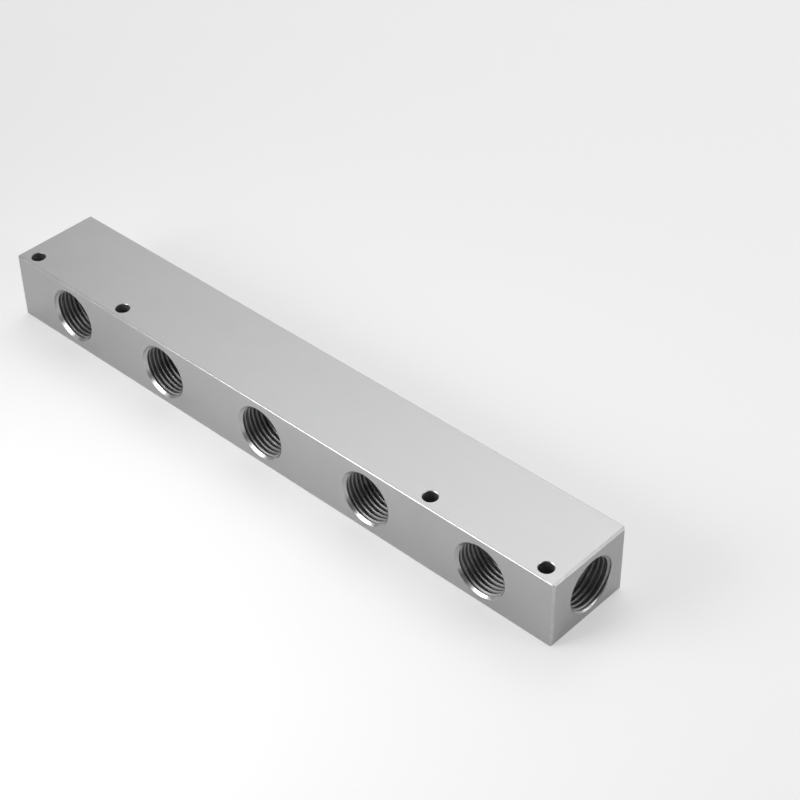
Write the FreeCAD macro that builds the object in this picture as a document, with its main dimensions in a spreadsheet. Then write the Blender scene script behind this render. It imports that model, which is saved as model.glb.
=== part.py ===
import FreeCAD, Part
import os
import Sketcher

# Air manifold block: one aluminium bar with a gallery bored along it, tapped at both ends,
# and a row of tapped outlets in its front face. Millimetres.
# The body is drawn from the bar's left front lower corner: X runs along the bar, Y from the
# front face to the back face, Z up. Its Placement then puts the origin under the bar's middle.
# Tapped holes have the diameter of the hole that is drilled for the tap.

SIZES = {
    # the bar's section and edges
    "block_depth": (35.5, "front face to back face"),
    "block_height": (27, "underside to top face"),
    "long_edge_radius": (0.5, "radius along the four long edges"),
    "end_edge_break": (0.4, "chamfer round each end face"),
    # the row of outlets, which also sets the bar's length
    "port_count": (5, "outlets in the front face"),
    "port_pitch": (50, "outlet to outlet"),
    "end_margin": (30, "end face to the nearest outlet's axis"),
    # tapped holes, for G 1/2 fittings
    "port_core_dia": (19, "drilled for the tap"),
    "port_mouth_chamfer": (1.4, "width and depth of the chamfer at each mouth"),
    "port_tip_past_axis": (1.5, "how far an outlet's drill tip passes the gallery's axis"),
    "end_port_depth": (17, "full-diameter depth of the tapped hole in each end"),
    "drill_point_angle": (118, "included angle of the drill's point"),
    # the gallery that joins them
    "gallery_dia": (16, "bore along the whole bar"),
    "gallery_inset": (19.2, "front face to the gallery's axis"),
    # holes for the bolts that hold the bar down
    "bolt_hole_dia": (5.3, "clearance for M5"),
    "bolt_hole_inset": (4.7, "front face to the bolt holes' axes"),
    "bolt_end_margin": (7, "end face to the outer bolt holes' axes"),
    "bolt_rim_break": (0.2, "chamfer round the rims of each bolt hole"),
}

# Places that follow from the sizes, as expressions
BAR_LENGTH = "(2 * Sizes.end_margin + (Sizes.port_count - 1) * Sizes.port_pitch)"
AXIS_HEIGHT = "(Sizes.block_height / 2)"
PORT_MOUTH_DIA = "(Sizes.port_core_dia + 2 * Sizes.port_mouth_chamfer)"
OUTER_BOLT_X = "Sizes.bolt_end_margin"
INNER_BOLT_X = "(Sizes.end_margin + Sizes.port_pitch / 2)"

MOUTH_ANGLE = 90
SAME_PLACE = 1e-4

# How a sketch numbers the points of its elements
SKETCH_ORIGIN = (-1, 1)
LINE_START, LINE_END, CIRCLE_CENTRE = 1, 2, 3


def size_sheet(doc):
    """Writes the driving dimensions, one row each: name, value, note."""
    sheet = doc.addObject("Spreadsheet::Sheet", "Sizes")
    for row, (name, (value, note)) in enumerate(SIZES.items(), start=1):
        sheet.set(f"A{row}", name)
        sheet.set(f"B{row}", str(value))
        sheet.set(f"C{row}", note)
        sheet.setAlias(f"B{row}", name)
    doc.recompute()
    return sheet


def origin_part(body, role):
    """One of the body's own origin planes or axes."""
    return next(item for item in body.Origin.OriginFeatures if item.Role == role)


def sketch_on(body, name, plane, height=None):
    """Starts a sketch on one of the body's planes, raised along its normal by an expression."""
    sketch = body.newObject("Sketcher::SketchObject", name)
    sketch.AttachmentSupport = [(origin_part(body, plane), "")]
    sketch.MapMode = "FlatFace"
    if height:
        sketch.setExpression("AttachmentOffset.Base.z", height)
    return sketch


def dimension(sketch, kind, elements, value, expression):
    """Adds a dimension to a sketch and binds it to the sheet."""
    index = sketch.addConstraint(Sketcher.Constraint(kind, *elements, value))
    sketch.setExpression(f"Constraints[{index}]", expression)


def add_circle(sketch, centre, diameter, place, size):
    """Adds a circle, its centre dimensioned from the sketch's origin by expressions."""
    x, y = centre
    geometry = Part.Circle(FreeCAD.Vector(x, y, 0), FreeCAD.Vector(0, 0, 1), diameter / 2)
    circle = sketch.addGeometry(geometry, False)
    middle = (circle, CIRCLE_CENTRE)
    dimension(sketch, "DistanceX", (*SKETCH_ORIGIN, *middle), x, place[0])
    dimension(sketch, "DistanceY", (*SKETCH_ORIGIN, *middle), y, place[1])
    dimension(sketch, "Diameter", (circle,), diameter, size)


def add_rectangle(sketch, width, height, size):
    """Adds a rectangle with one corner on the sketch's origin."""
    corners = [(0, 0), (width, 0), (width, height), (0, height)]
    points = [FreeCAD.Vector(x, y, 0) for x, y in corners]
    sides = [sketch.addGeometry(Part.LineSegment(a, b), False)
             for a, b in zip(points, points[1:] + points[:1])]
    for side, following in zip(sides, sides[1:] + sides[:1]):
        sketch.addConstraint(Sketcher.Constraint("Coincident", side, LINE_END, following, LINE_START))
    bottom, right, top, left = sides
    for side in (bottom, top):
        sketch.addConstraint(Sketcher.Constraint("Horizontal", side))
    for side in (right, left):
        sketch.addConstraint(Sketcher.Constraint("Vertical", side))
    sketch.addConstraint(Sketcher.Constraint("Coincident", bottom, LINE_START, *SKETCH_ORIGIN))
    dimension(sketch, "DistanceX", (bottom, LINE_START, bottom, LINE_END), width, size[0])
    dimension(sketch, "DistanceY", (right, LINE_START, right, LINE_END), height, size[1])


def edges_where(shape, wanted):
    """Names the edges of a shape that a test picks."""
    return [f"Edge{i}" for i, edge in enumerate(shape.Edges, start=1) if wanted(edge)]


def same(a, b):
    return abs(a - b) < SAME_PLACE


def bar_stock(body, sizes):
    """The bar: its section, with the gallery as a hole in it, drawn out along X."""
    section = sketch_on(body, "BarSection", "YZ_Plane")
    depth, height = sizes.block_depth, sizes.block_height
    add_rectangle(section, depth, height, ("Sizes.block_depth", "Sizes.block_height"))
    add_circle(section, (sizes.gallery_inset, height / 2), sizes.gallery_dia,
               ("Sizes.gallery_inset", AXIS_HEIGHT), "Sizes.gallery_dia")
    bar = body.newObject("PartDesign::Pad", "Bar")
    bar.Profile = section
    bar.setExpression("Length", BAR_LENGTH)
    body.Document.recompute()
    return bar


def round_long_edges(body, bar):
    """The radius along the four long corners of the section."""
    def along_the_bar(edge):
        return isinstance(edge.Curve, Part.Line) and same(edge.BoundBox.XLength, edge.Length)

    def at_a_corner(edge):
        box = edge.BoundBox
        at_side = same(box.YMin, 0) or same(box.YMin, bar.Shape.BoundBox.YMax)
        at_level = same(box.ZMin, 0) or same(box.ZMin, bar.Shape.BoundBox.ZMax)
        return at_side and at_level

    names = edges_where(bar.Shape, lambda edge: along_the_bar(edge) and at_a_corner(edge))
    fillet = body.newObject("PartDesign::Fillet", "LongEdgeRadius")
    fillet.Base = (bar, names)
    fillet.setExpression("Radius", "Sizes.long_edge_radius")
    body.Document.recompute()
    return fillet


def break_end_edges(body, bar):
    """The small chamfer round the outline of each end face."""
    ends = [face for face in bar.Shape.Faces if same(face.BoundBox.XLength, 0)]
    outlines = [edge for face in ends for edge in face.OuterWire.Edges]
    names = edges_where(bar.Shape, lambda edge: any(edge.isSame(side) for side in outlines))
    chamfer = body.newObject("PartDesign::Chamfer", "EndEdgeBreak")
    chamfer.Base = (bar, names)
    chamfer.setExpression("Size", "Sizes.end_edge_break")
    body.Document.recompute()


def tapped_hole(body, name, sketch, depth):
    """A hole drilled for the tap: chamfered mouth, straight wall, drill point."""
    body.Document.recompute()
    hole = body.newObject("PartDesign::Hole", name)
    hole.Profile = sketch
    hole.HoleCutType = "Countersink"
    hole.HoleCutCountersinkAngle = MOUTH_ANGLE
    hole.DrillPoint = "Angled"
    hole.DepthType = "Dimension"
    hole.setExpression("Diameter", "Sizes.port_core_dia")
    hole.setExpression("HoleCutDiameter", PORT_MOUTH_DIA)
    hole.setExpression("DrillPointAngle", "Sizes.drill_point_angle")
    hole.setExpression("Depth", depth)
    return hole


def end_ports(body, sizes):
    """The tapped hole at each end of the gallery."""
    for name, face_x, along_x in (("LeftEndPort", None, True), ("RightEndPort", BAR_LENGTH, False)):
        sketch = sketch_on(body, f"{name}Centre", "YZ_Plane", face_x)
        add_circle(sketch, (sizes.gallery_inset, sizes.block_height / 2), sizes.port_core_dia,
                   ("Sizes.gallery_inset", AXIS_HEIGHT), "Sizes.port_core_dia")
        hole = tapped_hole(body, name, sketch, "Sizes.end_port_depth")
        hole.Reversed = along_x
        body.Document.recompute()


def outlets(body, sizes):
    """The row of tapped outlets in the front face, each drilled into the gallery."""
    sketch = sketch_on(body, "FirstOutletCentre", "XZ_Plane")
    add_circle(sketch, (sizes.end_margin, sizes.block_height / 2), sizes.port_core_dia,
               ("Sizes.end_margin", AXIS_HEIGHT), "Sizes.port_core_dia")
    outlet = tapped_hole(body, "FirstOutlet", sketch, "Sizes.gallery_inset + Sizes.port_tip_past_axis")
    outlet.DrillForDepth = True
    body.Document.recompute()
    row = body.newObject("PartDesign::LinearPattern", "OutletRow")
    row.Originals = [outlet]
    row.Direction = (origin_part(body, "X_Axis"), [""])
    row.Mode = "Spacing"
    row.setExpression("Offset", "Sizes.port_pitch")
    row.setExpression("Occurrences", "Sizes.port_count")
    body.Tip = row
    body.Document.recompute()


def bolt_holes(body, sizes, length):
    """Four clearance holes down through the bar, near the front face, between the outlets."""
    sketch = sketch_on(body, "BoltHoleCentres", "XY_Plane", "Sizes.block_height")
    outer = sizes.bolt_end_margin
    inner = sizes.end_margin + sizes.port_pitch / 2
    places = ((outer, OUTER_BOLT_X), (inner, INNER_BOLT_X),
              (length - inner, f"{BAR_LENGTH} - {INNER_BOLT_X}"),
              (length - outer, f"{BAR_LENGTH} - {OUTER_BOLT_X}"))
    for x, expression in places:
        add_circle(sketch, (x, sizes.bolt_hole_inset), sizes.bolt_hole_dia,
                   (expression, "Sizes.bolt_hole_inset"), "Sizes.bolt_hole_dia")
    body.Document.recompute()
    holes = body.newObject("PartDesign::Hole", "BoltHoles")
    holes.Profile = sketch
    holes.DepthType = "ThroughAll"
    holes.setExpression("Diameter", "Sizes.bolt_hole_dia")
    body.Document.recompute()

    def is_rim(edge):
        box = edge.BoundBox
        at_face = same(box.ZMin, 0) or same(box.ZMin, sizes.block_height)
        round_hole = isinstance(edge.Curve, Part.Circle) and same(2 * edge.Curve.Radius, sizes.bolt_hole_dia)
        return round_hole and at_face and same(box.ZLength, 0)

    rims = body.newObject("PartDesign::Chamfer", "BoltRimBreak")
    rims.Base = (holes, edges_where(holes.Shape, is_rim))
    rims.setExpression("Size", "Sizes.bolt_rim_break")


def manifold_block(doc, sizes):
    """The one sub-part: a bar, bored and tapped."""
    body = doc.addObject("PartDesign::Body", "manifold_block")
    body.Label = "manifold_block"
    bar = bar_stock(body, sizes)
    length = bar.Length.Value
    rounded = round_long_edges(body, bar)
    break_end_edges(body, rounded)
    end_ports(body, sizes)
    outlets(body, sizes)
    bolt_holes(body, sizes, length)
    body.setExpression("Placement.Base.x", f"-{BAR_LENGTH} / 2")
    body.setExpression("Placement.Base.y", "-Sizes.block_depth / 2")
    doc.recompute()
    return body


def check_document(doc):
    """Stops if a feature failed or a cut took nothing away."""
    for item in doc.Objects:
        if {"Invalid", "Error"} & set(item.State):
            raise RuntimeError(f"{item.Name}: {item.State}")
    for item in doc.Objects:
        before = getattr(item, "BaseFeature", None)
        if before and not item.Shape.Volume < before.Shape.Volume:
            raise RuntimeError(f"{item.Name} takes nothing away")


def write_step(body):
    shape = body.Shape
    if shape.isNull() or not shape.isValid() or len(shape.Solids) != 1:
        raise RuntimeError(f"{body.Label} isn't one sound solid")
    shape.exportStep(f"parts/{body.Label}.step")


doc = FreeCAD.newDocument("AirManifoldBlock")
sizes = size_sheet(doc)
block = manifold_block(doc, sizes)
check_document(doc)
os.makedirs("parts", exist_ok=True)
write_step(block)
box = block.Shape.BoundBox
print(f"{block.Label}: {box.XLength:.2f} x {box.YLength:.2f} x {box.ZLength:.2f} mm")
print(f"volume {block.Shape.Volume:.0f} mm3, {len(block.Shape.Faces)} faces")
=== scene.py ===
import math

import bpy
from mathutils import Matrix, Quaternion, Vector


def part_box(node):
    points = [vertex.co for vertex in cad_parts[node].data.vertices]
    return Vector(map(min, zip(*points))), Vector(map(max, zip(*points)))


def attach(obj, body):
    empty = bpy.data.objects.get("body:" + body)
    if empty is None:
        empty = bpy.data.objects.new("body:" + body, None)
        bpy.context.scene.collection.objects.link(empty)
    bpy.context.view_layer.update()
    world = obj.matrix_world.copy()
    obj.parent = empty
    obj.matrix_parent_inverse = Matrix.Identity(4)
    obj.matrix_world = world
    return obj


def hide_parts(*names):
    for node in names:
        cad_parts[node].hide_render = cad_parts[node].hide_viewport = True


# Lengths of the shapes are in millimetres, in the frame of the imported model. The finished mesh is
# scaled to metres. Depths are measured from a port's mouth into the bar.
MM = 0.001
NODE = "manifold_block"

# Bar. The long edges are rounded; the end faces have a chamfer with rounded borders.
LONG_EDGE_RADIUS = 0.5
LEAST_CORNER_RADIUS = 0.04
EDGE_STEPS = 6
QUARTER_TURN = 90
END_CHAMFER = 0.7
END_CHAMFER_ANGLE = math.radians(45.0)
END_CHAMFER_ROUNDING = 0.15
END_CHAMFER_STEPS = 2

# Gallery and bolt holes.
GALLERY_RADIUS = 8.0
GALLERY_Y = 1.45
BOLT_HOLE_RADIUS = 2.65
BOLT_RIM_BREAK = 0.2
BOLT_Y = -13.05
BOLT_XS = (-123.0, -75.0, 75.0, 123.0)

# Tapped ports: the hole drilled for the tap and its countersunk mouth with a rounded rim. The
# rounding starts a little way round, so that the cutter never meets the face at a flat angle.
OUTLET_XS = (-100.0, -50.0, 0.0, 50.0, 100.0)
OUTLET_DRILL_DEPTH = 14.992
OUTLET_MOUTH_RADIUS = 10.7
END_DRILL_DEPTH = 17.0
END_MOUTH_RADIUS = 10.45
DRILL_RADIUS = 9.5
POINT_HALF_ANGLE = math.radians(59.0)
MOUTH_HALF_ANGLE = math.radians(45.0)
RIM_ROUNDING = 0.25
RIM_START = math.radians(8.0)
RIM_STEPS = 3

# Thread, G 1/2. The groove fades out short of the drill's end. A phase says how far round a thread
# starts, in turns, and the screw that cuts it starts the lead-in's turns outside the mouth. The
# rounding of the root has a point at its middle and one on each side, at the root point's angle.
THREAD_PITCH = 1.814
THREAD_ROOT_RADIUS = 10.4775
THREAD_FLANK_ANGLE = math.radians(27.5)
THREAD_ROUNDING = 0.249
ROOT_POINT_ANGLE = math.radians(30.0)
CREST_ROUNDING = 0.12
CREST_CLEARANCE = 0.005
CREST_STEPS = 5
THREAD_FADE = 2.4
THREAD_STOP_SHORT = 0.6
SCREW_CLEARANCE = 0.2
SCREW_LEAD_IN = 2.2
OUTLET_PHASES = (0.31, 0.25, 0.20, 0.20, 0.17)
LEFT_END_PHASE = 0.0
RIGHT_END_PHASE = 0.0

# Facets of the round cutters, and how far the cutters reach past the bar.
PORT_SIDES = 96
GALLERY_SIDES = 80
BOLT_SIDES = 48
OVERSHOOT = 1.0

# Edges above this angle are shaded sharp. A face of the plain bar is one of its flat sides when its
# normal reaches further than this along an axis.
SHARP_ANGLE = math.radians(28.0)
FLAT_NORMAL = 0.9999

# Material slots of the piece. What is turned, drilled or tapped has a slot for each axis.
FACE, EDGE = range(2)
OUTLET_MOUTH, OUTLET_BORE, OUTLET_THREAD = range(2, 5)
END_MOUTH, END_BORE, END_THREAD = range(5, 8)
BOLT_BORE = 8

# Metal, with lengths in metres. The values of a pattern lie mostly between the low and the high, and
# tones and roughnesses are given for these two. A tone is a grey with a little more blue. Reliefs
# are heights.
PATTERN_LOW = 0.3
PATTERN_HIGH = 0.7
BLUE_TINT = 0.005

FACE_TONES = (0.415, 0.445)
FACE_ROUGHNESS = (0.39, 0.45)
FACE_GRAIN = 0.0006
FACE_GRAIN_SHARE = 0.4
FACE_GRAIN_RELIEF = 0.000006
FACE_BLOTCHES = 0.014
FACE_LINES = 0.0005
FACE_LINES_DETAIL = 1
FACE_LINES_STRETCH = (60, 1, 1)
FACE_LINES_SHARE = 0.5
FACE_LINES_RELIEF = 0.000004

# The rounded edges and chamfers are set brighter than the faces as a painted highlight; the rubs vary
# their tone at random.
EDGE_HIGHLIGHT_TONES = (0.43, 0.50)
EDGE_ROUGHNESS = (0.40, 0.32)
EDGE_RUBS = 0.003
EDGE_RUBS_DETAIL = 4
EDGE_GRAIN = 0.0006
EDGE_GRAIN_RELIEF = 0.000005

# The wave texture multiplies its coordinate by the wave factor before it takes the sine.
WAVE_FACTOR = 20
RING_SHARE = 0.5
RING_DISTORTION = 3
RING_DETAIL = 2
RING_DETAIL_SCALE = 0.3
BORE_BLOTCHES = 0.002

MOUTH_TONES = (0.41, 0.45)
MOUTH_ROUGHNESS = (0.27, 0.33)
MOUTH_RINGS = 0.00028
MOUTH_RELIEF = 0.0000015

BORE_TONES = (0.41, 0.49)
BORE_ROUGHNESS = (0.40, 0.50)
BORE_RINGS = 0.0007
BORE_RELIEF = 0.000008

# The threads' tones are darker than the mouths' as painted shade inside the tapped holes; the stains
# vary them a little at random.
THREAD_SHADE_TONES = (0.325, 0.35)
THREAD_ROUGHNESS = (0.41, 0.44)
THREAD_STAINS = 0.0008
THREAD_RINGS = 0.00022
THREAD_RELIEF = 0.000001

# Camera, fitted to the bar's edges and the rims of its ports in the photograph. Places and sizes
# from here on are in metres; the lens and the sensor are in millimetres.
CAMERA_PLACE = Vector((0.380599, -0.348343, 0.441710))
CAMERA_TARGET = Vector((0.023517, 0.027830, 0.013450))
CAMERA_ROLL = math.radians(-0.9295)
LENS = 86.405
SENSOR = 36.0

# Studio lamps: name, place, target, width, height, spread of the beam in degrees, power in watts.
LAMPS = (
    ("key", (-0.08, -0.285, 0.185), (0.08, -0.02, 0.01), 0.25, 0.15, 100, 0.32),
    ("strip", (-0.795, -1.272, 0.125), (0.0, 0.0, 0.03), 0.95, 0.20, 180, 2.3),
    ("overhead", (-0.25, 0.40, 1.20), (0.0, 0.0, 0.02), 1.00, 1.00, 180, 5.0),
    ("back", (-0.10, 0.90, 1.10), (0.05, 0.0, 0.02), 0.90, 0.60, 180, 1.3),
    ("back_left", (-0.50, 0.723, 0.73), (0.0, 0.0, 0.02), 1.00, 0.70, 180, 2.15),
    ("side_high", (0.701, 0.226, 0.444), (0.13, 0.0, 0.015), 0.32, 0.18, 180, 0.92),
    ("side_low", (0.642, 0.461, 0.135), (0.13, 0.0, 0.015), 0.35, 0.19, 180, 0.72),
    ("left_fill", (-0.98, -0.49, 0.69), (-0.10, 0.0, 0.02), 0.60, 0.40, 180, 1.1),
    ("left_wall", (-1.75, 0.10, 0.60), (0.0, 0.0, 0.02), 1.80, 0.90, 180, 1.5),
    ("back_wall", (0.0, 1.75, 0.55), (0.0, 0.0, 0.02), 2.20, 0.80, 180, 3.2),
)
WORLD_STRENGTH = 0.15

# Floor. The whiteness is the share of plain white in the paper, as seen and as mirrored.
FLOOR_GAP = 0.00005
FLOOR_RADIUS = 4.0
FLOOR_SIDES = 96
FLOOR_ALBEDO = 0.9
FLOOR_WHITENESS_SEEN = 0.40
FLOOR_WHITENESS_MIRRORED = 0.25


def mesh_object(name, points, faces, slots):
    """Makes an object from points in millimetres and faces, with a material slot for each face."""
    mesh = bpy.data.meshes.new(name)
    mesh.from_pydata(points, [], faces)
    for material in MATERIALS:
        mesh.materials.append(material)
    for polygon, slot in zip(mesh.polygons, slots):
        polygon.material_index = slot
    made = bpy.data.objects.new(name, mesh)
    bpy.context.scene.collection.objects.link(made)
    return made


def lathe(name, profile, slots, sides, place):
    """Turns a profile of (radius, depth) about the depth axis; its two ends lie on that axis.

    Each stretch between two points of the profile has its own entry in slots.
    """
    points = [place @ Vector((0, 0, profile[0][1]))]
    rings = profile[1:-1]
    for radius, depth in rings:
        for side in range(sides):
            angle = 2 * math.pi * side / sides
            points.append(place @ Vector((radius * math.cos(angle), radius * math.sin(angle), depth)))
    points.append(place @ Vector((0, 0, profile[-1][1])))
    last = len(points) - 1
    faces = []
    for side in range(sides):
        after = (side + 1) % sides
        faces.append((0, 1 + after, 1 + side))
        for ring in range(len(rings) - 1):
            near = 1 + ring * sides
            far = near + sides
            faces.append((near + side, near + after, far + after, far + side))
        end = 1 + (len(rings) - 1) * sides
        faces.append((end + side, end + after, last))
    return mesh_object(name, points, faces, slots * sides)


def port_place(mouth, inward):
    """Matrix that puts depth along the port's inward axis, with its origin at the mouth."""
    inward = Vector(inward)
    down = Vector((0, 0, -1))
    across = down.cross(inward)
    turn = Matrix((across, down, inward)).transposed().to_4x4()
    return Matrix.Translation(mouth) @ turn


def rounded_rim(mouth_radius):
    """Points of the rounding between the face that a port is cut in and its countersink."""
    tangent = RIM_ROUNDING * math.tan(MOUTH_HALF_ANGLE / 2)
    points = []
    for step in range(RIM_STEPS + 1):
        angle = RIM_START + (MOUTH_HALF_ANGLE - RIM_START) * step / RIM_STEPS
        radius = mouth_radius + tangent - RIM_ROUNDING * math.sin(angle)
        points.append((radius, RIM_ROUNDING * (1 - math.cos(angle))))
    return points


def drilled_port(name, place, depth, mouth_radius, mouth, bore):
    """The countersunk mouth and the drilled hole, with its conical end."""
    rim = rounded_rim(mouth_radius)
    flare = mouth_radius + OVERSHOOT
    tip = depth + DRILL_RADIUS / math.tan(POINT_HALF_ANGLE)
    profile = [
        (0, -OVERSHOOT),
        (flare, -OVERSHOOT),
        (flare, rim[0][1] - (flare - rim[0][0]) * math.tan(RIM_START)),
        *rim,
        (DRILL_RADIUS, mouth_radius - DRILL_RADIUS),
        (DRILL_RADIUS, depth),
        (0, tip),
    ]
    slots = [mouth] * (len(profile) - 3) + [bore, bore]
    return lathe(name, profile, slots, PORT_SIDES, place)


def thread_profile():
    """One turn of the groove as (offset along the axis, radius), from crest to crest."""
    crest = DRILL_RADIUS + CREST_CLEARANCE
    centre = THREAD_ROOT_RADIUS - THREAD_ROUNDING
    tangent = centre + THREAD_ROUNDING * math.sin(THREAD_FLANK_ANGLE)
    half = THREAD_ROUNDING * math.cos(THREAD_FLANK_ANGLE)
    lip = half + (tangent - crest) * math.tan(THREAD_FLANK_ANGLE)
    turn = math.pi / 2 - THREAD_FLANK_ANGLE
    flat = lip + CREST_ROUNDING * math.tan(turn / 2)
    right = []
    for step in range(CREST_STEPS + 1):
        angle = turn * step / CREST_STEPS
        offset = flat - CREST_ROUNDING * math.sin(angle)
        right.append((offset, crest + CREST_ROUNDING * (1 - math.cos(angle))))
    right.append((half, tangent))
    right.append((
        THREAD_ROUNDING * math.sin(ROOT_POINT_ANGLE),
        centre + THREAD_ROUNDING * math.cos(ROOT_POINT_ANGLE),
    ))
    left = [(-offset, radius) for offset, radius in right]
    return left + [(0, THREAD_ROOT_RADIUS)] + right[::-1]


def faded(radius, along, depth):
    """A radius of the screw at a depth: it fades to the screw's core, then follows the drill's point."""
    core = DRILL_RADIUS - SCREW_CLEARANCE
    full = depth - THREAD_STOP_SHORT - THREAD_FADE
    cut = max(0, 1 - max(0, along - full) / THREAD_FADE)
    reach = core + (radius - core) * cut
    beyond = max(0, along - depth) * math.tan(POINT_HALF_ANGLE)
    return min(reach, core - beyond) if beyond else reach


def screw_points(profile, place, depth, start, turns):
    """The screw's points: a column for each side, through all turns of the groove.

    The groove's root lies half a pitch into each turn.
    """
    points = []
    for side in range(PORT_SIDES):
        share = side / PORT_SIDES
        angle = 2 * math.pi * share
        for turn in range(turns):
            for offset, radius in profile:
                along = start + (turn + 0.5 + share) * THREAD_PITCH + offset
                reach = faded(radius, along, depth)
                points.append(place @ Vector((reach * math.cos(angle), reach * math.sin(angle), along)))
    return points


def screw_sides(rows, pitch_rows):
    """Faces between the columns. The last column joins the first one turn further on."""
    faces = []
    for side in range(PORT_SIDES - 1):
        near = side * rows
        far = near + rows
        for row in range(rows - 1):
            faces.append((near + row, far + row, far + row + 1, near + row + 1))
    last = (PORT_SIDES - 1) * rows
    for row in range(rows - pitch_rows - 1):
        ahead = row + pitch_rows
        faces.append((last + row, ahead, ahead + 1, last + row + 1))
    return faces


def neighbours(ring):
    """Each point of a closed ring with the one after it."""
    return zip(ring, ring[1:] + ring[:1])


def screw(name, place, depth, phase, thread):
    """A right-hand screw that cuts the thread's groove. Fans to the axis close its helical ends."""
    profile = thread_profile()
    start = (phase - SCREW_LEAD_IN) * THREAD_PITCH
    turns = math.ceil((depth - start) / THREAD_PITCH)
    rows = turns * len(profile)
    points = screw_points(profile, place, depth, start, turns)
    faces = screw_sides(rows, len(profile))

    mouth_ring = [side * rows for side in range(PORT_SIDES)]
    mouth_ring += list(range(len(profile), 0, -1))
    mouth_end = len(points)
    points.append(place @ Vector((0, 0, start + THREAD_PITCH / 2)))
    faces += [(mouth_end, there, here) for here, there in neighbours(mouth_ring)]

    # The deep rim runs along the last points and then back up the last column.
    deep_ring = [side * rows + rows - 1 for side in range(PORT_SIDES)]
    last = (PORT_SIDES - 1) * rows
    deep_ring += [last + row for row in range(rows - 2, rows - 2 - len(profile), -1)]
    deep_end = len(points)
    points.append(place @ Vector((0, 0, start + (turns + 0.5) * THREAD_PITCH)))
    faces += [(deep_end, here, there) for here, there in neighbours(deep_ring)]
    return mesh_object(name, points, faces, [thread] * len(faces))


def rounded_section(x, inset, low, high):
    """One closed loop of the bar's section at x, drawn in by inset, with rounded corners.

    A corner is the centre of its rounding and the angle in degrees where the rounding starts.
    """
    radius = max(LONG_EDGE_RADIUS - inset, LEAST_CORNER_RADIUS)
    centre = inset + radius
    corners = (
        (high.y - centre, high.z - centre, 0),
        (low.y + centre, high.z - centre, QUARTER_TURN),
        (low.y + centre, low.z + centre, 2 * QUARTER_TURN),
        (high.y - centre, low.z + centre, 3 * QUARTER_TURN),
    )
    loop = []
    for y, z, first in corners:
        for step in range(EDGE_STEPS + 1):
            angle = math.radians(first + QUARTER_TURN * step / EDGE_STEPS)
            loop.append((x, y + radius * math.cos(angle), z + radius * math.sin(angle)))
    return loop


def end_chamfer():
    """Points (along, inset) of the chamfer round an end face; its two borders are rounded."""
    reach = END_CHAMFER + END_CHAMFER_ROUNDING * math.tan(END_CHAMFER_ANGLE / 2)
    first = []
    for step in range(END_CHAMFER_STEPS + 1):
        angle = END_CHAMFER_ANGLE * step / END_CHAMFER_STEPS
        along = END_CHAMFER_ROUNDING * (1 - math.cos(angle))
        first.append((along, reach - END_CHAMFER_ROUNDING * math.sin(angle)))
    return first + [(inset, along) for along, inset in reversed(first)]


def plain_bar(low, high):
    """The bar before any hole is cut: long edges rounded, end edges chamfered."""
    sections = end_chamfer()
    stations = [(low.x + along, inset) for along, inset in sections]
    stations += [(high.x - along, inset) for along, inset in reversed(sections)]
    points = []
    for x, inset in stations:
        points += rounded_section(x, inset, low, high)
    size = 4 * (EDGE_STEPS + 1)
    faces = [tuple(range(size - 1, -1, -1))]
    for station in range(len(stations) - 1):
        near = station * size
        far = near + size
        for index in range(size):
            after = (index + 1) % size
            faces.append((near + index, near + after, far + after, far + index))
    last = (len(stations) - 1) * size
    faces.append(tuple(range(last, last + size)))
    bar = mesh_object(NODE + "_body", points, faces, [EDGE] * len(faces))
    bar.data.update()
    for polygon in bar.data.polygons:
        if max(abs(value) for value in polygon.normal) > FLAT_NORMAL:
            polygon.material_index = FACE
    return bar


def cut_away(piece, cutter):
    """Takes the cutter's volume out of the piece and removes the cutter."""
    cut = piece.modifiers.new("cut", "BOOLEAN")
    cut.operation = "DIFFERENCE"
    cut.solver = "MANIFOLD"
    cut.object = cutter
    evaluated = piece.evaluated_get(bpy.context.evaluated_depsgraph_get())
    shaped = bpy.data.meshes.new_from_object(evaluated)
    piece.modifiers.clear()
    piece.data = shaped
    bpy.data.objects.remove(cutter, do_unlink=True)


def cut_outlets(bar, low, axis_z):
    """Drills and taps the five outlets in the front face."""
    for number, (x, phase) in enumerate(zip(OUTLET_XS, OUTLET_PHASES), start=1):
        place = port_place((x, low.y, axis_z), (0, 1, 0))
        name = f"outlet_{number}"
        drilled = drilled_port(
            name, place, OUTLET_DRILL_DEPTH, OUTLET_MOUTH_RADIUS, OUTLET_MOUTH, OUTLET_BORE)
        cut_away(bar, drilled)
        cut_away(bar, screw(name, place, OUTLET_DRILL_DEPTH, phase, OUTLET_THREAD))


def cut_end_ports(bar, low, high, axis_z):
    """Drills and taps the port in each end, on the gallery's axis."""
    ends = (
        ("left_end_port", low.x, 1, LEFT_END_PHASE),
        ("right_end_port", high.x, -1, RIGHT_END_PHASE),
    )
    for name, x, inward, phase in ends:
        place = port_place((x, GALLERY_Y, axis_z), (inward, 0, 0))
        drilled = drilled_port(name, place, END_DRILL_DEPTH, END_MOUTH_RADIUS, END_MOUTH, END_BORE)
        cut_away(bar, drilled)
        cut_away(bar, screw(name, place, END_DRILL_DEPTH, phase, END_THREAD))


def cut_gallery(bar, low, high, axis_z):
    """Bores the gallery that joins the end ports and the outlets."""
    place = port_place((low.x, GALLERY_Y, axis_z), (1, 0, 0))
    far = high.x - low.x + OVERSHOOT
    profile = [(0, -OVERSHOOT), (GALLERY_RADIUS, -OVERSHOOT), (GALLERY_RADIUS, far), (0, far)]
    cut_away(bar, lathe("gallery", profile, [END_BORE] * 3, GALLERY_SIDES, place))


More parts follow.
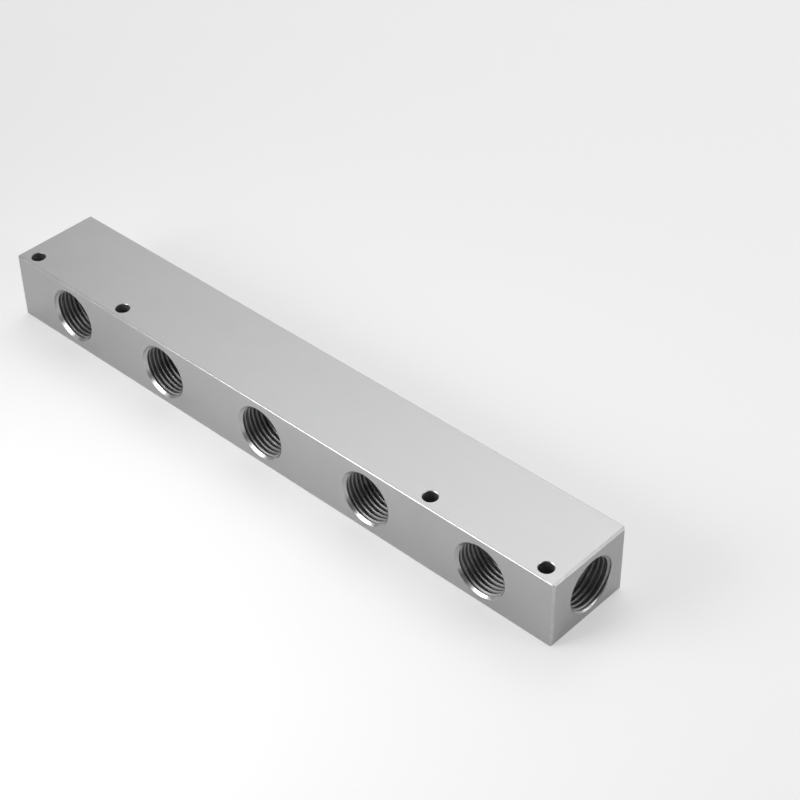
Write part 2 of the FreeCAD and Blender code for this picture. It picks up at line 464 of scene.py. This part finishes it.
def cut_bolt_holes(bar, low, high):
    """Drills the bolt holes down through the bar and breaks their rims."""
    height = high.z - low.z
    broken = BOLT_HOLE_RADIUS + BOLT_RIM_BREAK
    for number, x in enumerate(BOLT_XS, start=1):
        place = Matrix.Translation((x, BOLT_Y, low.z))
        profile = [
            (0, -OVERSHOOT),
            (broken + OVERSHOOT, -OVERSHOOT),
            (BOLT_HOLE_RADIUS, BOLT_RIM_BREAK),
            (BOLT_HOLE_RADIUS, height - BOLT_RIM_BREAK),
            (broken + OVERSHOOT, height + OVERSHOOT),
            (0, height + OVERSHOOT),
        ]
        slots = [EDGE, EDGE, BOLT_BORE, EDGE, EDGE]
        cut_away(bar, lathe(f"bolt_hole_{number}", profile, slots, BOLT_SIDES, place))


def finished_block():
    """The whole piece: the bar with its ports, gallery and bolt holes, scaled to metres."""
    low, high = (Vector(corner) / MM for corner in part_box(NODE))
    axis_z = (low.z + high.z) / 2
    bar = plain_bar(low, high)
    cut_gallery(bar, low, high, axis_z)
    cut_outlets(bar, low, axis_z)
    cut_end_ports(bar, low, high, axis_z)
    cut_bolt_holes(bar, low, high)
    bar.data.transform(Matrix.Scale(MM, 4))
    for polygon in bar.data.polygons:
        polygon.use_smooth = True
    bar.data.set_sharp_from_angle(angle=SHARP_ANGLE)
    weighted = bar.modifiers.new("weighted_normals", "WEIGHTED_NORMAL")
    weighted.keep_sharp = True
    return bar


def add_node(material, kind, inputs, **settings):
    """Adds a shader node; an input is a plain value or another node's output."""
    node = material.node_tree.nodes.new(kind)
    for setting, value in settings.items():
        setattr(node, setting, value)
    for key, value in inputs.items():
        if isinstance(value, bpy.types.NodeSocket):
            material.node_tree.links.new(value, node.inputs[key])
        else:
            node.inputs[key].default_value = value
    return node


def principled(name, metallic):
    """A new material and its Principled shader."""
    material = bpy.data.materials.new(name)
    material.use_nodes = True
    shader = material.node_tree.nodes["Principled BSDF"]
    shader.inputs["Metallic"].default_value = metallic
    return material, shader


def noise(material, grain, detail=2, stretch=(1, 1, 1)):
    """Noise whose grain is a length in metres, stretched along the axes."""
    place = add_node(material, "ShaderNodeTexCoord", {})
    divided = add_node(material, "ShaderNodeMapping", {
        "Vector": place.outputs["Object"],
        "Scale": [1 / (grain * along) for along in stretch],
    })
    pattern = add_node(material, "ShaderNodeTexNoise", {
        "Vector": divided.outputs["Vector"],
        "Scale": 1,
        "Detail": detail,
    })
    return pattern.outputs[0]


def tool_rings(material, axis, pitch):
    """Rings that a tool leaves along an axis, a pitch in metres apart and a little uneven."""
    place = add_node(material, "ShaderNodeTexCoord", {})
    rings = add_node(material, "ShaderNodeTexWave", {
        "Vector": place.outputs["Object"],
        "Scale": 2 * math.pi / (WAVE_FACTOR * pitch),
        "Distortion": RING_DISTORTION,
        "Detail": RING_DETAIL,
        "Detail Scale": RING_DETAIL_SCALE,
    }, wave_type="BANDS", bands_direction=axis)
    return rings.outputs[1]


def blend(material, first, share, second):
    """A blend of two patterns, with the given share of the first."""
    part = add_node(material, "ShaderNodeMath", {0: first, 1: share}, operation="MULTIPLY")
    total = add_node(material, "ShaderNodeMath", {
        0: second,
        1: 1 - share,
        2: part.outputs[0],
    }, operation="MULTIPLY_ADD")
    return total.outputs[0]


def tone(material, shader, pattern, greys):
    """Colours the metal between two greys, a little on the blue side, by a pattern."""
    ramp = add_node(material, "ShaderNodeValToRGB", {"Fac": pattern})
    places = (PATTERN_LOW, PATTERN_HIGH)
    for element, place, grey in zip(ramp.color_ramp.elements, places, greys):
        element.position = place
        element.color = (grey, grey, grey + BLUE_TINT, 1)
    material.node_tree.links.new(ramp.outputs["Color"], shader.inputs["Base Color"])


def sheen(material, shader, pattern, roughness):
    """Lets the roughness run between two values by a pattern."""
    spread = add_node(material, "ShaderNodeMapRange", {
        "Value": pattern,
        "From Min": PATTERN_LOW,
        "From Max": PATTERN_HIGH,
        "To Min": roughness[0],
        "To Max": roughness[1],
    })
    material.node_tree.links.new(spread.outputs["Result"], shader.inputs["Roughness"])


def relief(material, shader, *layers):
    """Bump from layers of (pattern, height in metres)."""
    normal = None
    for pattern, height in layers:
        inputs = {"Height": pattern, "Distance": height, "Strength": 1}
        if normal:
            inputs["Normal"] = normal
        normal = add_node(material, "ShaderNodeBump", inputs).outputs["Normal"]
    material.node_tree.links.new(normal, shader.inputs["Normal"])


def anodised_face():
    """Satin anodised faces: fine grain, faint drawing lines along the bar, soft blotches."""
    material, shader = principled("anodised_face", metallic=1)
    grain = noise(material, FACE_GRAIN)
    blotches = noise(material, FACE_BLOTCHES)
    lines = noise(material, FACE_LINES, FACE_LINES_DETAIL, FACE_LINES_STRETCH)
    tone(material, shader, blend(material, grain, FACE_GRAIN_SHARE, blotches), FACE_TONES)
    sheen(material, shader, blend(material, lines, FACE_LINES_SHARE, blotches), FACE_ROUGHNESS)
    relief(material, shader, (lines, FACE_LINES_RELIEF), (grain, FACE_GRAIN_RELIEF))
    return material


def anodised_edge():
    """Rounded edges, set brighter than the faces as a painted highlight, and rubbed a little brighter
    and smoother in places.
    """
    material, shader = principled("anodised_edge", metallic=1)
    rubs = noise(material, EDGE_RUBS, EDGE_RUBS_DETAIL)
    grain = noise(material, EDGE_GRAIN)
    tone(material, shader, rubs, EDGE_HIGHLIGHT_TONES)
    sheen(material, shader, rubs, EDGE_ROUGHNESS)
    relief(material, shader, (grain, EDGE_GRAIN_RELIEF))
    return material


def turned_mouth(name, axis):
    """Countersinks: bright turned metal with fine rings."""
    material, shader = principled(name, metallic=1)
    rings = tool_rings(material, axis, MOUTH_RINGS)
    blotches = noise(material, BORE_BLOTCHES)
    tone(material, shader, blend(material, rings, RING_SHARE, blotches), MOUTH_TONES)
    sheen(material, shader, blotches, MOUTH_ROUGHNESS)
    relief(material, shader, (rings, MOUTH_RELIEF))
    return material


def drilled_bore(name, axis):
    """Walls left by a drill: rings of uneven depth and tone."""
    material, shader = principled(name, metallic=1)
    rings = tool_rings(material, axis, BORE_RINGS)
    blotches = noise(material, BORE_BLOTCHES)
    tone(material, shader, blend(material, rings, RING_SHARE, blotches), BORE_TONES)
    sheen(material, shader, blotches, BORE_ROUGHNESS)
    relief(material, shader, (rings, BORE_RELIEF))
    return material


def cut_thread(name, axis):
    """Thread flanks: darker than the mouths as painted shade inside the tapped holes, duller, faintly
    stained, with the tap's fine rings.
    """
    material, shader = principled(name, metallic=1)
    rings = tool_rings(material, axis, THREAD_RINGS)
    stains = noise(material, THREAD_STAINS)
    tone(material, shader, stains, THREAD_SHADE_TONES)
    sheen(material, shader, stains, THREAD_ROUGHNESS)
    relief(material, shader, (rings, THREAD_RELIEF))
    return material


def share_of_white(material):
    """The share of plain white that a ray sees: one for the camera's, one for mirrored rays."""
    ray = add_node(material, "ShaderNodeLightPath", {})
    mirrored = add_node(material, "ShaderNodeMath", {
        0: ray.outputs["Is Glossy Ray"],
        1: ray.outputs["Is Transmission Ray"],
    }, operation="MAXIMUM")
    mirrored_share = add_node(material, "ShaderNodeMath", {
        0: mirrored.outputs[0],
        1: FLOOR_WHITENESS_MIRRORED,
    }, operation="MULTIPLY")
    share = add_node(material, "ShaderNodeMath", {
        0: ray.outputs["Is Camera Ray"],
        1: FLOOR_WHITENESS_SEEN,
        2: mirrored_share.outputs[0],
    }, operation="MULTIPLY_ADD")
    return share.outputs[0]


def floor_paper():
    """Pale matte paper. It shows nearly white, also in the metal, and keeps a soft shadow."""
    material, shader = principled("floor_paper", metallic=0)
    shader.inputs["Base Color"].default_value = (FLOOR_ALBEDO, FLOOR_ALBEDO, FLOOR_ALBEDO, 1)
    shader.inputs["Roughness"].default_value = 1
    shader.inputs["Specular IOR Level"].default_value = 0
    white = add_node(material, "ShaderNodeEmission", {"Color": (1, 1, 1, 1), "Strength": 1})
    mixed = add_node(material, "ShaderNodeMixShader", {
        0: share_of_white(material),
        1: shader.outputs["BSDF"],
        2: white.outputs["Emission"],
    })
    output = material.node_tree.nodes["Material Output"]
    material.node_tree.links.new(mixed.outputs[0], output.inputs["Surface"])
    return material


def pale_floor():
    """The plain floor that the block stands on."""
    bpy.ops.mesh.primitive_circle_add(vertices=FLOOR_SIDES, radius=FLOOR_RADIUS, fill_type="NGON")
    floor = bpy.context.object
    floor.name = "floor"
    floor.location = (0, 0, -FLOOR_GAP)
    floor.data.materials.append(floor_paper())


def dim_world():
    """A dim white world, which fills what the lamps leave dark."""
    world = bpy.data.worlds.new("studio")
    world.use_nodes = True
    background = world.node_tree.nodes["Background"]
    background.inputs["Color"].default_value = (1, 1, 1, 1)
    background.inputs["Strength"].default_value = WORLD_STRENGTH
    bpy.context.scene.world = world


def lamp(name, place, target, width, height, spread, power):
    """One soft rectangular lamp, which the camera doesn't see."""
    light = bpy.data.lights.new(name, "AREA")
    light.shape = "RECTANGLE"
    light.size = width
    light.size_y = height
    light.spread = math.radians(spread)
    light.energy = power
    made = bpy.data.objects.new(name, light)
    made.location = place
    made.rotation_mode = "QUATERNION"
    made.rotation_quaternion = (Vector(target) - Vector(place)).to_track_quat("-Z", "Y")
    made.visible_camera = False
    bpy.context.scene.collection.objects.link(made)


def studio():
    """World and lamps."""
    dim_world()
    for values in LAMPS:
        lamp(*values)


def camera():
    """Camera at the photograph's viewing angle."""
    data = bpy.data.cameras.new("camera")
    data.lens = LENS
    data.sensor_width = SENSOR
    made = bpy.data.objects.new("camera", data)
    made.location = CAMERA_PLACE
    made.rotation_mode = "QUATERNION"
    aim = (CAMERA_TARGET - CAMERA_PLACE).to_track_quat("-Z", "Y")
    made.rotation_quaternion = aim @ Quaternion((0, 0, 1), CAMERA_ROLL)
    bpy.context.scene.collection.objects.link(made)
    bpy.context.scene.camera = made


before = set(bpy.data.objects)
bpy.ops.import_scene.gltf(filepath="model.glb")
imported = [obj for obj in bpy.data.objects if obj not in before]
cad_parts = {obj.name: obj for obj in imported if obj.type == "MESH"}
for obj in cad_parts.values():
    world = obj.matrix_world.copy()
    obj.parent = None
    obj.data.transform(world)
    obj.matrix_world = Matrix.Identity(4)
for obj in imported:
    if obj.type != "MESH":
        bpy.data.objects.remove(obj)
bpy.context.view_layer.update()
MATERIALS = (
    anodised_face(),
    anodised_edge(),
    turned_mouth("outlet_mouth", "Y"),
    drilled_bore("outlet_bore", "Y"),
    cut_thread("outlet_thread", "Y"),
    turned_mouth("end_mouth", "X"),
    drilled_bore("end_bore", "X"),
    cut_thread("end_thread", "X"),
    drilled_bore("bolt_bore", "Z"),
)
block = finished_block()
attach(block, "root")
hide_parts(NODE)
pale_floor()
studio()
camera()
bpy.context.scene.view_settings.view_transform = "Standard"
